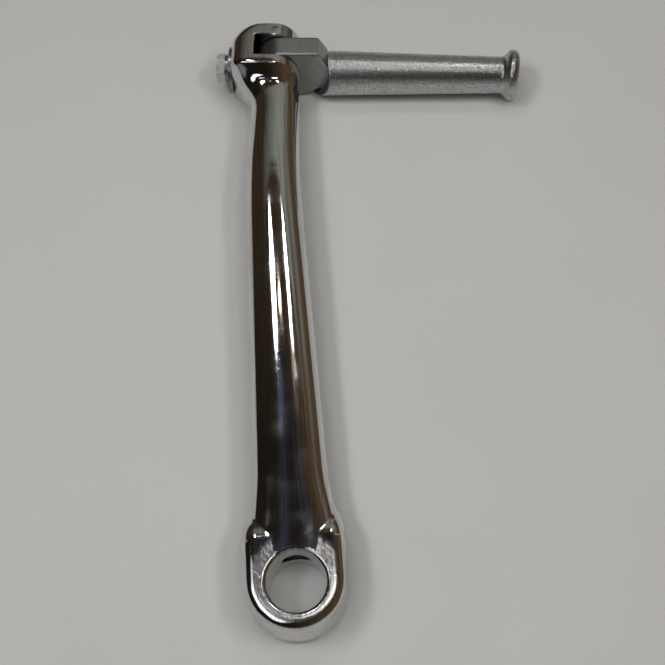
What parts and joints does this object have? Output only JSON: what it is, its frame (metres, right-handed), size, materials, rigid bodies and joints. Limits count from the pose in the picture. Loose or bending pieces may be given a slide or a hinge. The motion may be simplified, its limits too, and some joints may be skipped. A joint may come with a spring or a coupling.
{
  "type": "kickstart lever",
  "caption": "Chromed kickstart lever with a round shaft boss, a bent oval arm and a clevis that carries a folding zinc-plated pedal with a flanged end.",
  "frame": {"origin": "centre of the shaft bore, on the boss's inner face", "axes": "+Z along the shaft, away from the engine; +Y along the arm's upper stretch, towards the clevis; +X the way the folded pedal points"},
  "size_m": [0.1181, 0.2284, 0.0266],
  "materials": {
    "chrome": "polished chrome plate with fine scratches",
    "zinc_pedal": "dull zinc plate, grainy",
    "zinc_hardware": "bright zinc plate",
    "steel": "plain steel"
  },
  "bodies": {
    "arm": {"arm": "chrome", "pivot_pin": "steel", "detent_bolt": "zinc_hardware", "spring_washer": "steel", "plain_washer": "zinc_hardware", "detent_spring": "steel"},
    "pedal": {"pedal": "zinc_pedal"},
    "ball": {"detent_ball": "steel"}
  },
  "joints": [
    {"name": "pedal_fold", "type": "hinge", "parent": "arm", "child": "pedal", "pos_m": [-0.0135, 0.2015, 0.0149], "axis": [0, -1, 0], "range_deg": [0, 90]},
    {"name": "ball_press", "type": "slide", "parent": "arm", "child": "ball", "axis": [-1, 0, 0], "range_m": [0, 0.0006], "stiffness_N_per_m": 40, "deforming": ["detent_spring"]}
  ]
}
